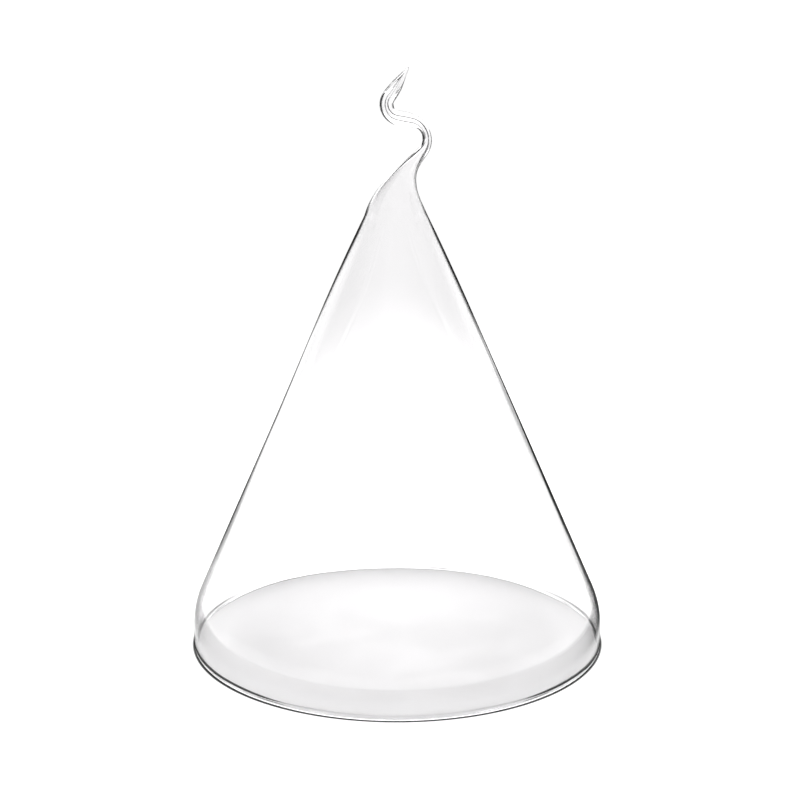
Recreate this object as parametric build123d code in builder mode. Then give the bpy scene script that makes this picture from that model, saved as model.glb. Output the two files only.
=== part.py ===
from build123d import *
import math
import os

# Hand-worked glass cloche: a conical bell open at the bottom, drawn out at the top into a thin
# neck, an S-shaped curl and a pinched leaf-like tip. The glass is one continuous piece; it is
# divided here at the zones a glassworker forms one after another, which meet face to face.
#
# Millimetres. +Z is up, the origin is the centre of the rim on the resting plane, and the curl
# lies in the XZ plane, leaning first towards +X.

# --- driving dimensions -------------------------------------------------------------------------
BELL_RADIUS = 100.0        # outside of the upright collar
WALL = 1.5                 # blown wall, square to the surface
TOP_WALL = 1.1             # the wall thins to this where the neck is drawn
COLLAR_TOP = 9.8           # where the upright collar starts to bend inwards
SHOULDER_RADIUS = 41.0     # outside radius of the bend between collar and cone
CONE_HALF_ANGLE = 22.85    # slope of the straight cone from the vertical, degrees
STRAIGHT_TOP = 168.0       # above this height the cone closes in a little faster
CONE_TOP = 216.0           # where the drawn neck starts
TOP_HALF_ANGLE = 24.1      # mean slope between those two heights

BEAD_HEIGHT = 3.4          # fire-polished bead at the mouth
BEAD_SWELL = 0.6           # how far the bead swells into the mouth
BEAD_EDGE_RADIUS = 1.0     # outer bottom edge of the bead
LAND_WIDTH = 0.9           # flat the bead rests on

CURL_START = (7.6, 242.5)  # centreline where the neck becomes a round stem, X and Z
RISE_ANGLE = 52.0          # direction of the stem there, degrees above +X
RISE_LENGTH = 7.4
LOWER_BEND_RADIUS = 9.2    # centreline of the bend back towards -X
LOWER_BEND_ANGLE = 117.0
BRIDGE_LENGTH = 6.4
UPPER_BEND_RADIUS = 6.6    # centreline of the bend that turns the tip up again
UPPER_BEND_ANGLE = 112.0
LEAF_LENGTH = 17.0         # straight run of the leaf-like tip

# Sections of the neck, bottom to top: centre X and Z, axis angle above +X, radius, bore radius.
NECK_SECTIONS = [
    (0.1, 220.5, 87.0, 13.6, 12.55),
    (1.3, 227.4, 78.0, 10.3, 9.4),
    (3.1, 233.1, 69.0, 7.2, 6.4),
    (5.1, 238.4, 61.0, 4.8, 4.0),
]

# Radius and bore radius of the stem at even steps along each stretch of its centreline.
RISE_RADII = [(3.5, 2.6), (2.9, 1.8)]
LOWER_BEND_RADII = [(2.6, 1.25), (2.3, 0.8), (2.1, 0.6), (2.3, 0.7)]
BRIDGE_RADII = [(3.1, 0.8), (3.5, 0.85)]
UPPER_BEND_RADII = [(3.5, 0.8), (3.3, 0.7), (3.3, 0.6)]
STEM_END = (3.3, 0.5)

# Half width and half thickness of the leaf at even steps from its root to its snipped end.
LEAF_SIZES = [(3.3, 3.3), (3.05, 2.6), (2.5, 1.95), (1.5, 1.2), (0.5, 0.45)]

# --- derived profile ----------------------------------------------------------------------------
half_angle = math.radians(CONE_HALF_ANGLE)
cone_direction = (-math.sin(half_angle), math.cos(half_angle))
inner_radius = BELL_RADIUS - WALL
bend_center = (BELL_RADIUS - SHOULDER_RADIUS, COLLAR_TOP)


def bend_end(radius):
    """Point where a bend of this radius runs out into the straight cone."""
    return (bend_center[0] + radius * math.cos(half_angle), bend_center[1] + radius * math.sin(half_angle))


def up_the_cone(start, height, slope):
    """Point at a height on the line through start that leans in at this slope, in degrees."""
    return (start[0] - (height - start[1]) * math.tan(math.radians(slope)), height)


outer_bend_end = bend_end(SHOULDER_RADIUS)
inner_bend_end = bend_end(SHOULDER_RADIUS - WALL)
outer_straight_top = up_the_cone(outer_bend_end, STRAIGHT_TOP, CONE_HALF_ANGLE)
inner_straight_top = up_the_cone(inner_bend_end, STRAIGHT_TOP, CONE_HALF_ANGLE)
outer_cone_top = up_the_cone(outer_straight_top, CONE_TOP, TOP_HALF_ANGLE)
inner_cone_top = (outer_cone_top[0] - TOP_WALL / math.cos(math.radians(TOP_HALF_ANGLE)), CONE_TOP)


def across(x, z, angle):
    """Plane square to a centreline at (x, z) that points angle degrees above +X."""
    direction = (math.cos(math.radians(angle)), 0, math.sin(math.radians(angle)))
    return Plane(origin=(x, 0, z), x_dir=(0, 1, 0), z_dir=direction)


def across_line(line, fraction):
    """Plane square to a centreline piece at a fraction of its length."""
    return Plane(origin=line @ fraction, x_dir=(0, 1, 0), z_dir=line % fraction)


# --- rim bead -----------------------------------------------------------------------------------
land_outer = BELL_RADIUS - BEAD_EDGE_RADIUS
land_inner = land_outer - LAND_WIDTH
with BuildPart() as rim_bead:
    with BuildSketch(Plane.XZ):
        with BuildLine():
            Line((land_inner, 0), (land_outer, 0))
            CenterArc((land_outer, BEAD_EDGE_RADIUS), BEAD_EDGE_RADIUS, -90, 90)
            Line((BELL_RADIUS, BEAD_EDGE_RADIUS), (BELL_RADIUS, BEAD_HEIGHT))
            Line((BELL_RADIUS, BEAD_HEIGHT), (inner_radius, BEAD_HEIGHT))
            ThreePointArc(
                (inner_radius, BEAD_HEIGHT),
                (inner_radius - BEAD_SWELL, BEAD_HEIGHT / 2),
                (land_inner, 0),
            )
        make_face()
    revolve(axis=Axis.Z)
rim_bead.part.label = "rim_bead"

# --- collar and shoulder ------------------------------------------------------------------------
with BuildPart() as shoulder_wall:
    with BuildSketch(Plane.XZ):
        with BuildLine():
            Line((inner_radius, BEAD_HEIGHT), (BELL_RADIUS, BEAD_HEIGHT))
            Line((BELL_RADIUS, BEAD_HEIGHT), (BELL_RADIUS, COLLAR_TOP))
            CenterArc(bend_center, SHOULDER_RADIUS, 0, CONE_HALF_ANGLE)
            Line(outer_bend_end, inner_bend_end)
            CenterArc(bend_center, SHOULDER_RADIUS - WALL, 0, CONE_HALF_ANGLE)
            Line((inner_radius, COLLAR_TOP), (inner_radius, BEAD_HEIGHT))
        make_face()
    revolve(axis=Axis.Z)
shoulder_wall.part.label = "shoulder_wall"

# --- cone ---------------------------------------------------------------------------------------
with BuildPart() as cone_wall:
    with BuildSketch(Plane.XZ):
        with BuildLine():
            Line(outer_bend_end, outer_straight_top)
            TangentArc(outer_straight_top, outer_cone_top, tangent=cone_direction)
            Line(outer_cone_top, inner_cone_top)
            TangentArc(inner_straight_top, inner_cone_top, tangent=cone_direction)
            Line(inner_straight_top, inner_bend_end)
            Line(inner_bend_end, outer_bend_end)
        make_face()
    revolve(axis=Axis.Z)
cone_wall.part.label = "cone_wall"

# --- centreline of the curl ---------------------------------------------------------------------
with BuildLine(Plane.XZ) as stem_path:
    rise = PolarLine(CURL_START, RISE_LENGTH, RISE_ANGLE)
    lower_bend = JernArc(rise @ 1, rise % 1, LOWER_BEND_RADIUS, LOWER_BEND_ANGLE)
    bridge = Line(lower_bend @ 1, lower_bend @ 1 + BRIDGE_LENGTH * (lower_bend % 1))
    upper_bend = JernArc(bridge @ 1, bridge % 1, UPPER_BEND_RADIUS, -UPPER_BEND_ANGLE)
with BuildLine(Plane.XZ) as leaf_path:
    leaf_axis = Line(upper_bend @ 1, upper_bend @ 1 + LEAF_LENGTH * (upper_bend % 1))

# --- neck, drawn off-centre from the cone into the stem --------------------------------------------
with BuildPart() as neck:
    with BuildSketch(Plane.XY.offset(CONE_TOP)):
        Circle(outer_cone_top[0])
        Circle(inner_cone_top[0], mode=Mode.SUBTRACT)
    for x, z, angle, radius, bore in NECK_SECTIONS:
        with BuildSketch(across(x, z, angle)):
            Circle(radius)
            Circle(bore, mode=Mode.SUBTRACT)
    with BuildSketch(across_line(rise, 0)):
        Circle(RISE_RADII[0][0])
        Circle(RISE_RADII[0][1], mode=Mode.SUBTRACT)
    loft()
neck.part.label = "neck"

# --- curl stem, a thick-walled tube bent into an S ---------------------------------------------------
stem_stretches = [
    (rise, RISE_RADII),
    (lower_bend, LOWER_BEND_RADII),
    (bridge, BRIDGE_RADII),
    (upper_bend, UPPER_BEND_RADII),
]
stem_sections = [
    (across_line(line, step / len(radii)), radius, bore)
    for line, radii in stem_stretches
    for step, (radius, bore) in enumerate(radii)
]
stem_sections.append((across_line(upper_bend, 1), *STEM_END))
with BuildPart() as curl_stem:
    for plane, radius, bore in stem_sections:
        with BuildSketch(plane):
            Circle(radius)
    sweep(path=stem_path.wires()[0], multisection=True)
    for plane, radius, bore in stem_sections:
        with BuildSketch(plane):
            Circle(bore)
    sweep(path=stem_path.wires()[0], multisection=True, mode=Mode.SUBTRACT)
curl_stem.part.label = "curl_stem"

# --- leaf-like tip, solid and pinched flat towards its end --------------------------------------------
with BuildPart() as leaf_tip:
    for step, (half_width, half_thickness) in enumerate(LEAF_SIZES):
        with BuildSketch(across_line(leaf_axis, step / (len(LEAF_SIZES) - 1))):
            Ellipse(half_thickness, half_width)
    loft()
leaf_tip.part.label = "leaf_tip"

# --- output -------------------------------------------------------------------------------------
os.makedirs("parts", exist_ok=True)
for piece in (rim_bead, shoulder_wall, cone_wall, neck, curl_stem, leaf_tip):
    export_step(piece.part, f"parts/{piece.part.label}.step")
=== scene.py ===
import bpy
import math
import numpy as np
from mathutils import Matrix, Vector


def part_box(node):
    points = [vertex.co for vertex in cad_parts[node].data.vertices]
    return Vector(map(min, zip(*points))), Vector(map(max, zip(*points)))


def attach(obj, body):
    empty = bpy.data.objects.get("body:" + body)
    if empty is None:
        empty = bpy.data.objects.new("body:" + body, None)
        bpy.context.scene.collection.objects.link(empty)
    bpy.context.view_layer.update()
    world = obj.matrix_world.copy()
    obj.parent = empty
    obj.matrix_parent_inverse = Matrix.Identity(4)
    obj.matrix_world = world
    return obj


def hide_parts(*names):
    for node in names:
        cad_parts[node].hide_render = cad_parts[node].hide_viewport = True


# Hand-blown glass cloche: the CAD zones are replaced, one by one, by finer glass skins that run
# on from zone to zone, on a white studio floor. Shape values are in millimetres, in the CAD frame;
# the studio's are in metres.

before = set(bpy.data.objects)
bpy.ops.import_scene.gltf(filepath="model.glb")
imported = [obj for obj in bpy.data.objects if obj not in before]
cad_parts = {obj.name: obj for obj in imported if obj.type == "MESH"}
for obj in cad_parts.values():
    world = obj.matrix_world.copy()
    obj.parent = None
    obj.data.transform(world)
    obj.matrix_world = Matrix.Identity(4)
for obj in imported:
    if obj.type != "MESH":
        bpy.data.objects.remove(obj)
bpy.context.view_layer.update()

MM = 0.001
ROUND = 160                    # points round every section
# rings along each stretch, its first and its last included
BEAD_RINGS = 27
BEAD_SIDE_RINGS = 9
COLLAR_RINGS = 11
SHOULDER_RINGS = 15
CONE_RINGS = 30
CONE_TOP_RINGS = 12
NECK_RINGS = 31
STEM_STEP = 0.55               # between rings along the curl, which has at least
FEWEST_STEPS = 8               # this many in each stretch

# --- the bell -------------------------------------------------------------------------------------
BELL_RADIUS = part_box("shoulder_wall")[1][0] / MM
BEAD_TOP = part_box("rim_bead")[1][2] / MM
CONE_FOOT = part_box("cone_wall")[0][2] / MM
CONE_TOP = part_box("cone_wall")[1][2] / MM
WALL = 1.5
TOP_WALL = 1.1                 # the wall thins towards the neck
THINNING = (150.0, 216.0)      # between these heights
COLLAR_TOP = 9.8
SHOULDER_RADIUS = 41.0
CONE_HALF_ANGLE = math.radians(22.85)
STRAIGHT_TOP = 168.0
TOP_HALF_ANGLE = math.radians(24.1)  # mean slope from there to the neck
BEAD_HALF_WIDTH = 1.05
BEAD_HALF_HEIGHT = 1.1
BEAD_SWELL = 0.6               # how far the bead swells into the mouth
BEAD_BLEND = 2.2               # height over which the swell dies out

# --- the drawn neck, curl and leaf ----------------------------------------------------------------
# the curl's centreline, in the XZ plane: rise, lower bend, bridge, upper bend, leaf
CURL_START = (7.6, 242.5)
RISE_ANGLE = math.radians(52.0)
RISE_LENGTH = 7.4
LOWER_BEND_RADIUS = 9.2
LOWER_BEND_ANGLE = math.radians(117.0)
BRIDGE_LENGTH = 6.4
UPPER_BEND_RADIUS = 6.6
UPPER_BEND_ANGLE = math.radians(112.0)
LEAF_LENGTH = 17.0
# centre X and Z, axis angle, radius, bore radius
NECK_SECTIONS = [
    (0.1, 220.5, 87.0, 13.6, 12.55),
    (1.3, 227.4, 78.0, 10.3, 9.4),
    (3.1, 233.1, 69.0, 7.2, 6.4),
    (5.1, 238.4, 61.0, 4.8, 4.0),
]
# fraction of the stretch, radius, bore radius
RISE_RADII = [(0, 3.5, 2.6), (0.5, 2.9, 1.8)]
LOWER_BEND_RADII = [(0, 2.6, 1.25), (0.25, 2.3, 0.8), (0.5, 2.1, 0.6), (0.75, 2.3, 0.7)]
BRIDGE_RADII = [(0, 3.1, 0.8), (0.5, 3.5, 0.85)]
UPPER_BEND_RADII = [(0, 3.5, 0.8), (0.33, 3.3, 0.7), (0.67, 3.3, 0.6)]
LEAF_RADII = [
    (0, 3.3, 0.5), (0.25, 3.05, 0.4), (0.5, 2.5, 0.3), (0.75, 1.5, 0.15), (0.95, 0.65, 0.1),
]
# fraction of the leaf, thickness as a part of width
LEAF_FLATNESS = [(0, 1.0), (0.25, 0.86), (0.5, 0.78), (0.75, 0.78), (1, 0.85)]
LEAF_TWIST = math.radians(50.0)
LEAF_END = 0.95                # of the leaf's length, where its last ring closes to a point
LEAF_BORE_END = 0.7            # of the leaf's rings, where the bore closes
POCKET_DEPTH = 0.1             # of the bore's pointed end
FLUTE_DEPTH = 0.11             # of the leaf's radius, pulled in by the tongs
FLUTES = [(0.6, 5, 0.4), (0.4, 8, 2.1)]  # share of the depth, count, phase
FLUTES_FROM = 0.3              # radians of twist at which the flutes are at full depth

# --- unevenness of the blown glass ----------------------------------------------------------------
# depth, lobes round the bell, phase, height in which they turn by one radian
WAVES = [(0.16, 2, 0.7, 61), (0.10, 3, -1.1, -37), (0.05, 5, 2.0, 23)]
INSIDE_WAVES = [(0.08, 4, 0.4, -29), (0.05, 2, 0.0, 13)]
RIM_WAVES = [(0.18, 9, 1.3), (0.13, 14, -0.6)]
WAVES_END = (205, 235)         # heights over which the waves die out
RIM_WAVES_END = (2, 8)
FULL_WAVES = 12                # radius down to which they keep their depth
LEAN = -0.6                    # sideways shift of the top of the bell
LEAN_STARTS = (100, 200)
LEAN_ENDS = (226, 243)
LIFT = 0.12                    # mean rise of the outline over its level near the foot
LIFT_LOBES, LIFT_PHASE = 2, 1.9
LIFT_STARTS = (0.5, 3.4)
LIFT_ENDS = (4, 40)


def smooth_curve(points, at):
    """Value of a smooth curve through points, rows of (x, y, ...), at one x."""
    points = np.array(points, float)
    x, y = points[:, 0], points[:, 1:]
    slope = np.gradient(y, x, axis=0)
    at = min(max(at, x[0]), x[-1])
    i = min(max(int(np.searchsorted(x, at, side="right")) - 1, 0), len(x) - 2)
    span = x[i + 1] - x[i]
    t = (at - x[i]) / span
    return (
        (2 * t**3 - 3 * t**2 + 1) * y[i]
        + (t**3 - 2 * t**2 + t) * span * slope[i]
        + (3 * t**2 - 2 * t**3) * y[i + 1]
        + (t**3 - t**2) * span * slope[i + 1]
    )


def fade(value, low, high):
    """0 below low, 1 above high, smooth between."""
    t = np.clip((value - low) / (high - low), 0, 1)
    return t * t * (3 - 2 * t)


# --- sections: (centre x, centre z, axis angle, half width, half thickness, twist) ----------------


def bell_section(radius, height):
    """A level circle round the bell's axis."""
    return (0.0, height, math.pi / 2, radius, radius, 0.0)


def bell_pairs():
    """Outer and inner section at each level of the bell, from the middle of the bead upwards."""
    upright = [
        *np.linspace(BEAD_HALF_HEIGHT, BEAD_TOP, BEAD_SIDE_RINGS),
        *np.linspace(BEAD_TOP, COLLAR_TOP, COLLAR_RINGS)[1:],
    ]
    outline = [(BELL_RADIUS, z, 0.0) for z in upright]
    for slope in np.linspace(0, CONE_HALF_ANGLE, SHOULDER_RINGS)[1:]:
        radius = BELL_RADIUS - SHOULDER_RADIUS * (1 - math.cos(slope))
        outline.append((radius, COLLAR_TOP + SHOULDER_RADIUS * math.sin(slope), slope))
    radius, foot, _ = outline[-1]
    for z in np.linspace(foot, STRAIGHT_TOP, CONE_RINGS)[1:]:
        outline.append((radius - (z - foot) * math.tan(CONE_HALF_ANGLE), z, CONE_HALF_ANGLE))
    radius = outline[-1][0]
    turn = 2 * (TOP_HALF_ANGLE - CONE_HALF_ANGLE)
    for part in np.linspace(0, 1, CONE_TOP_RINGS)[1:]:
        rise = part * (CONE_TOP - STRAIGHT_TOP)
        mean_slope = CONE_HALF_ANGLE + turn * part / 2
        outline.append((radius - rise * math.tan(mean_slope), STRAIGHT_TOP + rise,
                        CONE_HALF_ANGLE + turn * part))
    pairs = []
    for radius, z, slope in outline:
        wall = WALL + (TOP_WALL - WALL) * fade(z, *THINNING)
        part = min((z - BEAD_HALF_HEIGHT) / BEAD_BLEND, 1)
        swell = BEAD_SWELL * (0.5 + 0.5 * math.cos(math.pi * part))
        inside = radius - wall * math.cos(slope) - swell
        pairs.append((bell_section(radius, z), bell_section(inside, z - wall * math.sin(slope))))
    return pairs


def bead_sections():
    """Sections round the bottom of the bead, from its outer side to its inner side."""
    middle = BELL_RADIUS - BEAD_HALF_WIDTH
    return [
        bell_section(middle + BEAD_HALF_WIDTH * math.cos(a), BEAD_HALF_HEIGHT * (1 - math.sin(a)))
        for a in np.linspace(0, math.pi, BEAD_RINGS)[1:-1]
    ]


def along(start, heading, bend, run):
    """Point and heading at a distance along a stretch, straight where bend is 0."""
    if bend == 0:
        return (start[0] + run * math.cos(heading), start[1] + run * math.sin(heading)), heading
    after = heading + run * bend
    x = start[0] + (math.sin(after) - math.sin(heading)) / bend
    z = start[1] + (math.cos(heading) - math.cos(after)) / bend
    return (x, z), after


def neck_pairs(cone_end, below):
    """Pairs from the end of the cone to the start of the curl; below is a section lower down."""
    across_wall = TOP_WALL / math.cos(TOP_HALF_ANGLE)
    controls = [(0.0, s[1], 90.0, s[3], s[3] - across_wall) for s in (below, cone_end)]
    controls += NECK_SECTIONS
    rise_middle, _ = along(CURL_START, RISE_ANGLE, 0, RISE_LENGTH / 2)
    controls.append((*CURL_START, math.degrees(RISE_ANGLE), *RISE_RADII[0][1:]))
    controls.append((*rise_middle, math.degrees(RISE_ANGLE), *RISE_RADII[1][1:]))
    runs = np.cumsum([0.0] + [math.dist(a[:2], b[:2]) for a, b in zip(controls, controls[1:])])
    pairs = []
    rows = [(run, *control) for run, control in zip(runs, controls)]
    for run in np.linspace(runs[1], runs[-2], NECK_RINGS)[1:]:
        x, z, angle, radius, bore = smooth_curve(rows, run)
        heading = math.radians(angle)
        pairs.append(((x, z, heading, radius, radius, 0.0), (x, z, heading, bore, bore, 0.0)))
    return pairs


def curl_pairs():
    """Pairs along the stem, then along the leaf; the leaf's bore ends before its outside does."""
    stretches = [
        (RISE_LENGTH, 0.0, RISE_RADII),
        (LOWER_BEND_RADIUS * LOWER_BEND_ANGLE, 1 / LOWER_BEND_RADIUS, LOWER_BEND_RADII),
        (BRIDGE_LENGTH, 0.0, BRIDGE_RADII),
        (UPPER_BEND_RADIUS * UPPER_BEND_ANGLE, -1 / UPPER_BEND_RADIUS, UPPER_BEND_RADII),
        (LEAF_LENGTH, 0.0, LEAF_RADII),
    ]
    stations, run = [], 0.0
    for length, _, radii in stretches:
        stations += [(run + f * length, radius, bore) for f, radius, bore in radii]
        run += length
    stem, leaf = [], []
    start, heading, run = CURL_START, RISE_ANGLE, 0.0
    for length, bend, radii in stretches:
        in_leaf = radii is LEAF_RADII
        steps = max(FEWEST_STEPS, round(length / STEM_STEP))
        for f in np.linspace(0, LEAF_END if in_leaf else 1.0, steps + 1)[1:]:
            (x, z), angle = along(start, heading, bend, f * length)
            radius, bore = smooth_curve(stations, run + f * length)
            flatness = smooth_curve(LEAF_FLATNESS, f)[0] if in_leaf else 1.0
            twist = LEAF_TWIST * f if in_leaf else 0.0
            outside = (x, z, angle, radius, radius * flatness, twist)
            inside = (x, z, angle, bore, bore * flatness, twist)
            (leaf if in_leaf else stem).append((outside, inside))
        start, heading = along(start, heading, bend, length)
        run += length
    bored = [pair for number, pair in enumerate(leaf) if number < LEAF_BORE_END * len(leaf)]
    return stem, bored, [outside for outside, _ in leaf[len(bored):]]


# --- rings of points ------------------------------------------------------------------------------

turns = 2 * math.pi * np.arange(ROUND) / ROUND


def ring(section):
    """Points round one section, fluted where it is twisted."""
    x, z, heading, width, thickness, twist = section
    flutes = sum(share * np.cos(count * (turns - twist) + phase) for share, count, phase in FLUTES)
    fluted = 1 + FLUTE_DEPTH * min(twist / FLUTES_FROM, 1) * flutes
    across = width * fluted * np.cos(turns - twist)
    deep = thickness * fluted * np.sin(turns - twist)
    side = across * math.cos(twist) - deep * math.sin(twist)
    depth = across * math.sin(twist) + deep * math.cos(twist)
    return np.stack([x + side * math.sin(heading), depth, z - side * math.cos(heading)], axis=1)


def hand_made(points, inner):
    """Small uneven shifts of a blown bell: lean, out-of-round and wavy glass."""
    x, y, z = points[:, 0], points[:, 1], points[:, 2]
    angle = np.arctan2(y, x)
    reach = np.hypot(x, y)
    in_bell = 1 - fade(z, *WAVES_END)
    wavy = WAVES + INSIDE_WAVES if inner else WAVES
    waves = sum(
        depth * np.cos(lobes * angle + phase + z / rise) for depth, lobes, phase, rise in wavy
    )
    if inner:
        near_rim = 1 - fade(z, *RIM_WAVES_END)
        waves += near_rim * sum(
            depth * np.cos(lobes * angle + phase) for depth, lobes, phase in RIM_WAVES
        )
    grow = 1 + in_bell * waves / np.maximum(reach, FULL_WAVES)
    lean = LEAN * fade(z, *LEAN_STARTS) * (1 - fade(z, *LEAN_ENDS))
    near_foot = (1 - fade(z, *LIFT_ENDS)) * fade(z, *LIFT_STARTS)
    lift = LIFT * (1 + np.cos(LIFT_LOBES * angle + LIFT_PHASE)) * near_foot
    return np.stack([x * grow + lean, y * grow, z + lift], axis=1)


bell = bell_pairs()
neck = neck_pairs(bell[-1][0], bell[-3][0])
stem, bored_leaf, solid_leaf = curl_pairs()
pairs = bell + neck + stem + bored_leaf
outer_sections = [outside for outside, _ in pairs] + solid_leaf
inner_sections = [inside for _, inside in pairs]
bead = bead_sections()

outer_rings = [hand_made(ring(s), False) for s in outer_sections]
bead_rings = [hand_made(ring(s), False) for s in bead]
inner_rings = [hand_made(ring(s), True) for s in inner_sections]

# one continuous skin: down the outside, round the bead and up the inside
skin = np.array(outer_rings[::-1] + bead_rings + inner_rings)
down = np.gradient(skin, axis=0)
around = (np.roll(skin, -1, axis=1) - np.roll(skin, 1, axis=1)) / 2
normals = np.cross(down, around)
normals /= np.linalg.norm(normals, axis=2, keepdims=True)

levels = np.array([outside[1] for outside, _ in bell])
SEAMS = {  # number of the pair where one zone ends and the next begins
    "bead": int(np.argmin(np.abs(levels - BEAD_TOP))),
    "foot": int(np.argmin(np.abs(levels - CONE_FOOT))),
    "cone": len(bell) - 1,
    "stem": len(bell) + len(neck) - 1,
    "leaf": len(bell) + len(neck) + len(stem) - 1,
}


def outer_row(number):
    return len(outer_rings) - 1 - number


def inner_row(number):
    return len(outer_rings) + len(bead_rings) + number


# --- node trees -----------------------------------------------------------------------------------


class Tree:
    """The nodes of a material or of the world."""

    def __init__(self, owner):
        owner.use_nodes = True
        self.nodes = owner.node_tree.nodes
        self.connect = owner.node_tree.links.new

    def feed(self, socket, value):
        if isinstance(value, (int, float)):
            socket.default_value = value
        else:
            self.connect(value, socket)

    def place(self, kind):
        return self.nodes.new("ShaderNodeTexCoord").outputs[kind]

    def split(self, vector):
        """X, Y and Z of a vector."""
        node = self.nodes.new("ShaderNodeSeparateXYZ")
        self.connect(vector, node.inputs["Vector"])
        return tuple(node.outputs)

    def math(self, operation, *values):
        node = self.nodes.new("ShaderNodeMath")
        node.operation = operation
        for socket, value in zip(node.inputs, values):
            self.feed(socket, value)
        return node.outputs["Value"]

    def times(self, first, *others):
        for other in others:
            first = self.math("MULTIPLY", first, other)
        return first

    def ramp(self, source, span, low, high):
        """A smooth change from low to high as the source crosses the span."""
        node = self.nodes.new("ShaderNodeMapRange")
        node.interpolation_type = "SMOOTHSTEP"
        for name, value in zip(("From Min", "From Max", "To Min", "To Max"), (*span, low, high)):
            node.inputs[name].default_value = value
        self.connect(source, node.inputs["Value"])
        return node.outputs["Result"]

    def choose(self, factor, plain, other):
        """The plain value where the factor is 0, the other where it is 1."""
        node = self.nodes.new("ShaderNodeMix")
        node.data_type = "FLOAT"
        for name, value in (("Factor", factor), ("A", plain), ("B", other)):
            self.feed(node.inputs[name], value)
        return node.outputs["Result"]

    def noise(self, vector, scale, detail, distortion=0.0):
        node = self.nodes.new("ShaderNodeTexNoise")
        node.inputs["Scale"].default_value = scale
        node.inputs["Detail"].default_value = detail
        node.inputs["Distortion"].default_value = distortion
        self.connect(vector, node.inputs["Vector"])
        return node.outputs["Fac"]

    def path(self, kind):
        return self.nodes.new("ShaderNodeLightPath").outputs[kind]

    def bounced(self, kind):
        """1 on a path with a bounce of that kind behind it, 0 on any other."""
        return self.math("GREATER_THAN", self.path(kind), 0.5)

    def blend(self, factor, first, second):
        """Shows the first shader where the factor is 0 and the second where it is 1."""
        mix = self.nodes.new("ShaderNodeMixShader")
        self.connect(factor, mix.inputs["Fac"])
        self.connect(first, mix.inputs[1])
        self.connect(second, mix.inputs[2])
        self.connect(mix.outputs["Shader"], self.nodes["Material Output"].inputs["Surface"])

    def clear(self):
        return self.nodes.new("ShaderNodeBsdfTransparent").outputs["BSDF"]


# --- materials ------------------------------------------------------------------------------------

GLASS_TINT = (0.985, 0.98, 0.985)
GLASS_IOR = 1.47
SWELLS_PER_METRE = 28.0


def glass_material(name, strength, distance):
    """Clear glass with the soft uneven swells of blown glass, a few centimetres long."""
    material = bpy.data.materials.new(name)
    tree = Tree(material)
    shader = tree.nodes["Principled BSDF"]
    shader.inputs["Base Color"].default_value = (*GLASS_TINT, 1)
    shader.inputs["Roughness"].default_value = 0.0
    shader.inputs["IOR"].default_value = GLASS_IOR
    shader.inputs["Transmission Weight"].default_value = 1.0
    bump = tree.nodes.new("ShaderNodeBump")
    bump.inputs["Strength"].default_value = strength
    bump.inputs["Distance"].default_value = distance
    swells = tree.noise(tree.place("Object"), SWELLS_PER_METRE, detail=2.0)
    tree.connect(swells, bump.inputs["Height"])
    tree.connect(bump.outputs["Normal"], shader.inputs["Normal"])
    return material


def seam_material():
    """Where two zones of the one glass meet there is nothing to see."""
    material = bpy.data.materials.new("fused_seam")
    tree = Tree(material)
    tree.nodes.remove(tree.nodes["Principled BSDF"])
    tree.connect(tree.clear(), tree.nodes["Material Output"].inputs["Surface"])
    return material


bell_glass = glass_material("blown_glass", strength=0.12, distance=0.0006)
drawn_glass = glass_material("drawn_glass", strength=0.10, distance=0.0004)
seam = seam_material()


# --- pieces ---------------------------------------------------------------------------------------


class Shell:
    """Faces gathered from rings of the skin into one closed mesh."""

    def __init__(self):
        self.points, self.faces, self.loop_normals, self.face_slots = [], [], [], []
        self.rows = {}

    def row(self, number):
        if number not in self.rows:
            self.rows[number] = len(self.points)
            self.points.extend(skin[number] * MM)
        return self.rows[number]

    def strip(self, first, last):
        """The skin between two rows."""
        for number in range(first, last):
            a, b = self.row(number), self.row(number + 1)
            for j in range(ROUND):
                k = (j + 1) % ROUND
                self.faces.append((a + j, b + j, b + k, a + k))
                self.loop_normals += [normals[number][j], normals[number + 1][j],
                                      normals[number + 1][k], normals[number][k]]
                self.face_slots.append(0)

    def seam(self, number, upward):
        """The unseen face between the outside and the inside, where this zone meets the next."""
        a, b = self.row(outer_row(number)), self.row(inner_row(number))
        for j in range(ROUND):
            k = (j + 1) % ROUND
            face = [a + j, a + k, b + k, b + j]
            if not upward:
                face.reverse()
            self.faces.append(tuple(face))
            p = [np.array(self.points[v]) for v in face]
            normal = np.cross(p[2] - p[0], p[3] - p[1])
            self.loop_normals += [normal / np.linalg.norm(normal)] * 4
            self.face_slots.append(1)

    def end(self, number, tip, forward):
        """Closes a ring with a fan round a point."""
        a, center = self.row(number), len(self.points)
        self.points.append(np.array(tip) * MM)
        for j in range(ROUND):
            k = (j + 1) % ROUND
            face = (a + j, a + k, center) if forward else (a + k, a + j, center)
            self.faces.append(face)
            p = [np.array(self.points[v]) for v in face]
            normal = np.cross(p[1] - p[0], p[2] - p[0])
            normal /= np.linalg.norm(normal)
            self.loop_normals += [normal] * 3
            self.face_slots.append(0)

    def make(self, name, glass):
        mesh = bpy.data.meshes.new(name)
        mesh.from_pydata([tuple(p) for p in self.points], [], self.faces)
        mesh.materials.append(glass)
        mesh.materials.append(seam)
        mesh.polygons.foreach_set("material_index", self.face_slots)
        mesh.polygons.foreach_set("use_smooth", [True] * len(self.faces))
        mesh.normals_split_custom_set([tuple(n) for n in self.loop_normals])
        mesh.validate()
        piece = bpy.data.objects.new(name, mesh)
        bpy.context.scene.collection.objects.link(piece)
        return piece


def between(low, high, node, name, glass):
    """The piece between two seams, with its outside and its inside."""
    shell = Shell()
    shell.strip(outer_row(high), outer_row(low))
    shell.strip(inner_row(low), inner_row(high))
    shell.seam(high, True)
    shell.seam(low, False)
    finish_piece(shell.make(name, glass), node)


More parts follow.
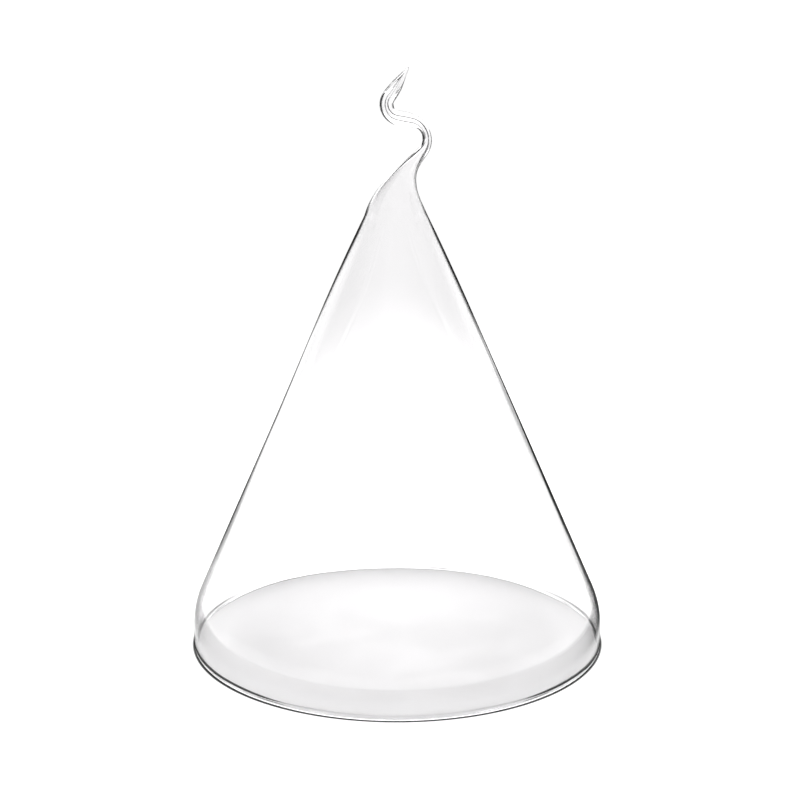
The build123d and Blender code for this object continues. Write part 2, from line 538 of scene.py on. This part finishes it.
def finish_piece(piece, node):
    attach(piece, "root")
    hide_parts(node)


rim = Shell()
rim.strip(outer_row(SEAMS["bead"]), inner_row(SEAMS["bead"]))
rim.seam(SEAMS["bead"], True)
finish_piece(rim.make("glass_rim", bell_glass), "rim_bead")
between(SEAMS["bead"], SEAMS["foot"], "shoulder_wall", "glass_shoulder", bell_glass)
between(SEAMS["foot"], SEAMS["cone"], "cone_wall", "glass_cone", bell_glass)
between(SEAMS["cone"], SEAMS["stem"], "neck", "glass_neck", bell_glass)
between(SEAMS["stem"], SEAMS["leaf"], "curl_stem", "glass_curl", drawn_glass)

leaf = Shell()
leaf.strip(0, outer_row(SEAMS["leaf"]))
leaf.strip(inner_row(SEAMS["leaf"]), len(skin) - 1)
leaf.seam(SEAMS["leaf"], False)
x, z, heading = solid_leaf[-1][:3]
tip, _ = along((x, z), heading, 0, (1 - LEAF_END) * LEAF_LENGTH)
leaf.end(0, (tip[0], 0, tip[1]), True)
x, z, heading = inner_sections[-1][:3]
pocket, _ = along((x, z), heading, 0, POCKET_DEPTH)
leaf.end(len(skin) - 1, (pocket[0], 0, pocket[1]), False)
finish_piece(leaf.make("glass_leaf", drawn_glass), "leaf_tip")


# --- studio ---------------------------------------------------------------------------------------

scene = bpy.context.scene
scene.view_settings.view_transform = "Standard"
scene.cycles.max_bounces = 32
scene.cycles.transmission_bounces = 32
scene.cycles.glossy_bounces = 16
scene.cycles.transparent_max_bounces = 32

# What the glass mirrors is kept apart from what is seen directly or through it. It mirrors a
# cloudy white room over black cards, which give clear glass its dark outline, and close to the
# rim a grey card painted on the floor, a painted reflection. Seen directly or through the glass,
# the room is white and the floor is paper with painted shade.
BLACK = 0.03

# the room; spans are of one part of a direction, which is 1 when it points straight that way
ROOM_LIGHT = 1.95
MIRRORED_LIGHT = 1.65
OVERHEAD = 0.45                # the mirrored room is darker higher up
OVERHEAD_RANGE = (-0.02, 0.28)
CLOUD_DEPTH = 0.15             # how much of the mirrored light the clouds take away
CLOUD_RANGE = (0.35, 0.65)
CLOUD_SCALE = 2.2
CARD_RANGE = (-0.225, -0.175)  # the cards give way upwards to the room
CARD_LIGHT = (0.22, 0.02)      # they are grey on the left and black on the right
CARD_TURN = (-0.25, 0.1)
CARD_SIDE = (0.285, 0.375)     # they give way sideways too
CARD_SHIFT = 0.03              # but reach further on the right
PAST_CARDS = 0.6               # to this much of the room
BACKWARDS = (0.35, 0.6)        # for light that goes on towards the back
CARD_FOOT = (-0.75, -0.5)      # and downwards to paper
LOW_PAPER = 0.8
WITHIN_WALL = 0.02             # how much higher they stand for light mirrored inside the wall
DARKER_RIGHT = 0.04            # and still higher towards the right

# the floor as it is seen, with painted shade; spans are distances from the bell's axis
PAPER = 0.97
FAR_PAPER = 0.53               # painted falloff: the paper's colour darkens behind the cloche, in place of the light falling off
FAR_RANGE = (0.22, 0.62)
CONTACT = 0.04                 # the thin shade under the rim
CONTACT_INNER = (0.0982, 0.0988)
CONTACT_OUTER = (0.1003, 0.1014)
MIDDLE_SHADE = (0.80, 0.855)   # painted shade: the paper is a little darker under the bell, in soft patches standing in for the light the glass throws
MIDDLE_RANGE = (0.065, 0.099)
MIDDLE_BACK = (0.0, 0.075)     # but not at the back
PATCH_RANGE = (0.35, 0.7)
PATCH_SCALE = 24.0
PATCH_DISTORTION = 0.6

# the floor's painted reflection, as the glass mirrors it
UNDER_BELL = (0.03, 0.095)     # painted shade: the paper under the bell darkens outwards
UNDER_BELL_EDGE = 0.4
MOUTH = (0.0965, 0.0985)       # and gives way to painted black at the rim
RIM_GAP = (0.1005, 0.106)      # beside the rim the floor is painted black
PAINTED_GREY_CARD = (0.80, 0.30)       # then comes a painted grey card, darker farther out
GREY_RANGE = (0.090, 0.130)
GREY_RIGHT = (0.03, 0.09)      # which is painted black a little way out on the right
GREY_RIGHT_RANGE = (0.104, 0.120)
BLACK_RANGE = (0.16, 0.26)     # farther out the black cards of the room take over

FLOOR_RADIUS = 8.0
FLOOR_SIDES = 96


def mirrored_room(tree, direction):
    """Brightness of the room in the mirror of the glass."""
    right, back, up = tree.split(direction)
    raised = tree.math("MULTIPLY_ADD", right, DARKER_RIGHT, WITHIN_WALL)
    raised = tree.times(raised, tree.bounced("Transmission Depth"))
    level = tree.math("SUBTRACT", up, raised)
    aside = tree.math("ABSOLUTE", tree.math("SUBTRACT", right, CARD_SHIFT))
    past_sides = tree.times(tree.ramp(aside, CARD_SIDE, 0, PAST_CARDS),
                            tree.ramp(back, BACKWARDS, 0, 1))
    past_cards = tree.math("MAXIMUM", tree.ramp(level, CARD_RANGE, 0, 1), past_sides)
    card_light = tree.ramp(right, CARD_TURN, *CARD_LIGHT)
    above = tree.choose(past_cards, card_light, MIRRORED_LIGHT)
    below = tree.ramp(up, CARD_FOOT, LOW_PAPER, 0)
    clouds = tree.noise(direction, CLOUD_SCALE, detail=1.0)
    cloudy = tree.ramp(clouds, CLOUD_RANGE, 1, 1 - CLOUD_DEPTH)
    overhead = tree.ramp(up, OVERHEAD_RANGE, 1, OVERHEAD)
    return tree.times(cloudy, overhead, tree.math("MAXIMUM", above, below))


scene.world = bpy.data.worlds.new("studio")
tree = Tree(scene.world)
room = tree.nodes["Background"]
room.inputs["Color"].default_value = (1, 1, 1, 1)
from_glass = tree.math("MAXIMUM", tree.path("Is Transmission Ray"), tree.path("Is Glossy Ray"))
in_mirror = tree.times(tree.bounced("Glossy Depth"), from_glass)
brightness = tree.choose(in_mirror, ROOM_LIGHT, mirrored_room(tree, tree.place("Generated")))
tree.connect(brightness, room.inputs["Strength"])


def seen_paper(tree, spot, reach, back):
    """Colour of the floor, seen directly or through the glass, with painted shade: a painted
    falloff far out, a thin painted shadow under the rim and soft patches of painted shade under the
    bell.
    """
    lit = tree.ramp(reach, FAR_RANGE, PAPER, FAR_PAPER)
    contact = tree.math("MAXIMUM", tree.ramp(reach, CONTACT_OUTER, CONTACT, 1),
                        tree.ramp(reach, CONTACT_INNER, 1, CONTACT))
    # painted shade in soft patches under the bell, in place of the light thrown through the glass
    patches = tree.noise(spot, PATCH_SCALE, detail=1.0, distortion=PATCH_DISTORTION)
    in_middle = tree.times(tree.ramp(reach, MIDDLE_RANGE, 1, 0), tree.ramp(back, MIDDLE_BACK, 1, 0))
    shade = tree.choose(in_middle, 1.0, tree.ramp(patches, PATCH_RANGE, *MIDDLE_SHADE))
    return tree.times(lit, tree.times(contact, shade))


def painted_paper_reflection(tree, reach, right):
    """Painted reflection: the colour of the floor where the glass mirrors it, painted dark under
    the bell and beside the rim, with a painted grey card.
    """
    under_bell = tree.times(tree.ramp(reach, MOUTH, PAPER, BLACK),
                            tree.ramp(reach, UNDER_BELL, 1, UNDER_BELL_EDGE))
    black_right = tree.times(tree.ramp(right, GREY_RIGHT, 0, 1),
                             tree.ramp(reach, GREY_RIGHT_RANGE, 0, 1))
    painted_grey_card = tree.choose(black_right, tree.ramp(reach, GREY_RANGE, *PAINTED_GREY_CARD), BLACK)
    return tree.math("MAXIMUM", under_bell, tree.times(painted_grey_card, tree.ramp(reach, RIM_GAP, 0, 1)))


paper = bpy.data.materials.new("paper_with_painted_shade")
tree = Tree(paper)
white = tree.nodes["Principled BSDF"]
white.inputs["Roughness"].default_value = 1.0
white.inputs["Specular IOR Level"].default_value = 0.0
spot = tree.place("Object")
length = tree.nodes.new("ShaderNodeVectorMath")
length.operation = "LENGTH"
tree.connect(spot, length.inputs[0])
reach = length.outputs["Value"]
right, back, _ = tree.split(spot)
in_mirror = tree.bounced("Glossy Depth")
# painted light: the paper's colour carries painted shade where it is seen and a painted reflection
# where the glass mirrors it
paper_with_painted_light = tree.choose(in_mirror, seen_paper(tree, spot, reach, back),
                        painted_paper_reflection(tree, reach, right))
tree.connect(paper_with_painted_light, white.inputs["Base Color"])
tree.blend(tree.times(in_mirror, tree.ramp(reach, BLACK_RANGE, 0, 1)), white.outputs["BSDF"],
           tree.clear())

floor_turns = np.linspace(0, 2 * math.pi, FLOOR_SIDES + 1)[:-1]
floor_mesh = bpy.data.meshes.new("floor")
floor_mesh.from_pydata(
    [(FLOOR_RADIUS * math.cos(a), FLOOR_RADIUS * math.sin(a), 0) for a in floor_turns],
    [],
    [range(FLOOR_SIDES)],
)
floor_mesh.materials.append(paper)
floor = bpy.data.objects.new("floor", floor_mesh)
scene.collection.objects.link(floor)

# Two black flags stand round the top, open to the front. The first is met by mirrored light only:
# its upper part draws the lines of the curl, its lower part darkens the edges of the bell near the
# top. The second is met only by light that passes through the glass without being mirrored. It
# leaves a gap behind the cloche, so from the front only light that the rod of the curl and the
# leaf bend far to the side reaches it; from a slant it is seen straight through the neck.
FLAG_BLACK = 0.02
FLAG_OVERLAP = 0.3             # radians that a flag reaches round in front on each side
FLAG_STEPS = 32
EDGE_FLAG_FOOT = (0.130, 0.160)
EDGE_FLAG_TOP = (0.204, 0.226)
EDGE_FLAG_SIDE = (0.055, 0.075)  # where it ends towards each side
CURL_FLAG_FOOT = (0.244, 0.248)
SIDE_FLAG_FOOT = (0.214, 0.224)
SIDE_FLAG_DROP = 0.03          # how much lower it reaches behind the cloche than beside it
SIDE_FLAG_BEHIND = (0.030, 0.050)
SIDE_FLAG_START = (0.042, 0.060)
SIDE_FLAG_MIDDLE = -0.009      # the right side starts closer to the axis than the left one


def flag(name, radius, heights, build_factor):
    """An arc of card, black where the factor is 1 and clear where it is 0."""
    card = bpy.data.materials.new(name)
    tree = Tree(card)
    black = tree.nodes["Principled BSDF"]
    black.inputs["Base Color"].default_value = (FLAG_BLACK, FLAG_BLACK, FLAG_BLACK, 1)
    black.inputs["Roughness"].default_value = 1.0
    factor = build_factor(tree, *tree.split(tree.place("Object")))
    tree.blend(factor, tree.clear(), black.outputs["BSDF"])
    arc = np.linspace(-FLAG_OVERLAP, math.pi + FLAG_OVERLAP, FLAG_STEPS + 1)
    row = FLAG_STEPS + 1
    mesh = bpy.data.meshes.new(name)
    mesh.from_pydata(
        [(radius * math.cos(a), radius * math.sin(a), z) for z in heights for a in arc],
        [],
        [(i, i + 1, row + i + 1, row + i) for i in range(FLAG_STEPS)],
    )
    mesh.materials.append(card)
    ring = bpy.data.objects.new(name, mesh)
    scene.collection.objects.link(ring)


def for_mirrored_light(tree, across, _, height):
    """Factor of the flag that only mirrored light meets."""
    edge = tree.times(
        tree.ramp(height, EDGE_FLAG_FOOT, 0, 1),
        tree.ramp(height, EDGE_FLAG_TOP, 1, 0),
        tree.ramp(tree.math("ABSOLUTE", across), EDGE_FLAG_SIDE, 1, 0),
    )
    either = tree.math("MAXIMUM", edge, tree.ramp(height, CURL_FLAG_FOOT, 0, 1))
    return tree.times(either, tree.bounced("Glossy Depth"))


def for_bent_light(tree, across, back, height):
    """Factor of the flag that only light through the glass meets."""
    dropped = tree.math("ADD", height, tree.ramp(back, SIDE_FLAG_BEHIND, 0, SIDE_FLAG_DROP))
    aside = tree.math("ABSOLUTE", tree.math("SUBTRACT", across, SIDE_FLAG_MIDDLE))
    mirrored_or_lit = tree.math("MAXIMUM", tree.bounced("Glossy Depth"),
                                tree.bounced("Diffuse Depth"))
    return tree.times(
        tree.ramp(dropped, SIDE_FLAG_FOOT, 0, 1),
        tree.ramp(aside, SIDE_FLAG_START, 0, 1),
        tree.choose(mirrored_or_lit, tree.path("Is Transmission Ray"), 0.0),
    )


flag("mirror_flag", radius=0.090, heights=(0.12, 0.34), build_factor=for_mirrored_light)
flag("side_flag", radius=0.094, heights=(0.16, 0.45), build_factor=for_bent_light)

# --- camera ---------------------------------------------------------------------------------------

DISTANCE = 1.6
ELEVATION = math.radians(18.32)
SENSOR_MM = 36
LENS_MM = 149.2
target = (0.00135, 0.0, 0.12476)
lens_data = bpy.data.cameras.new("camera")
lens_data.sensor_width = SENSOR_MM
lens_data.lens = LENS_MM
camera = bpy.data.objects.new("camera", lens_data)
camera.location = (
    target[0],
    -DISTANCE * math.cos(ELEVATION),
    target[2] + DISTANCE * math.sin(ELEVATION),
)
camera.rotation_euler = (math.pi / 2 - ELEVATION, 0, 0)
scene.collection.objects.link(camera)
scene.camera = camera
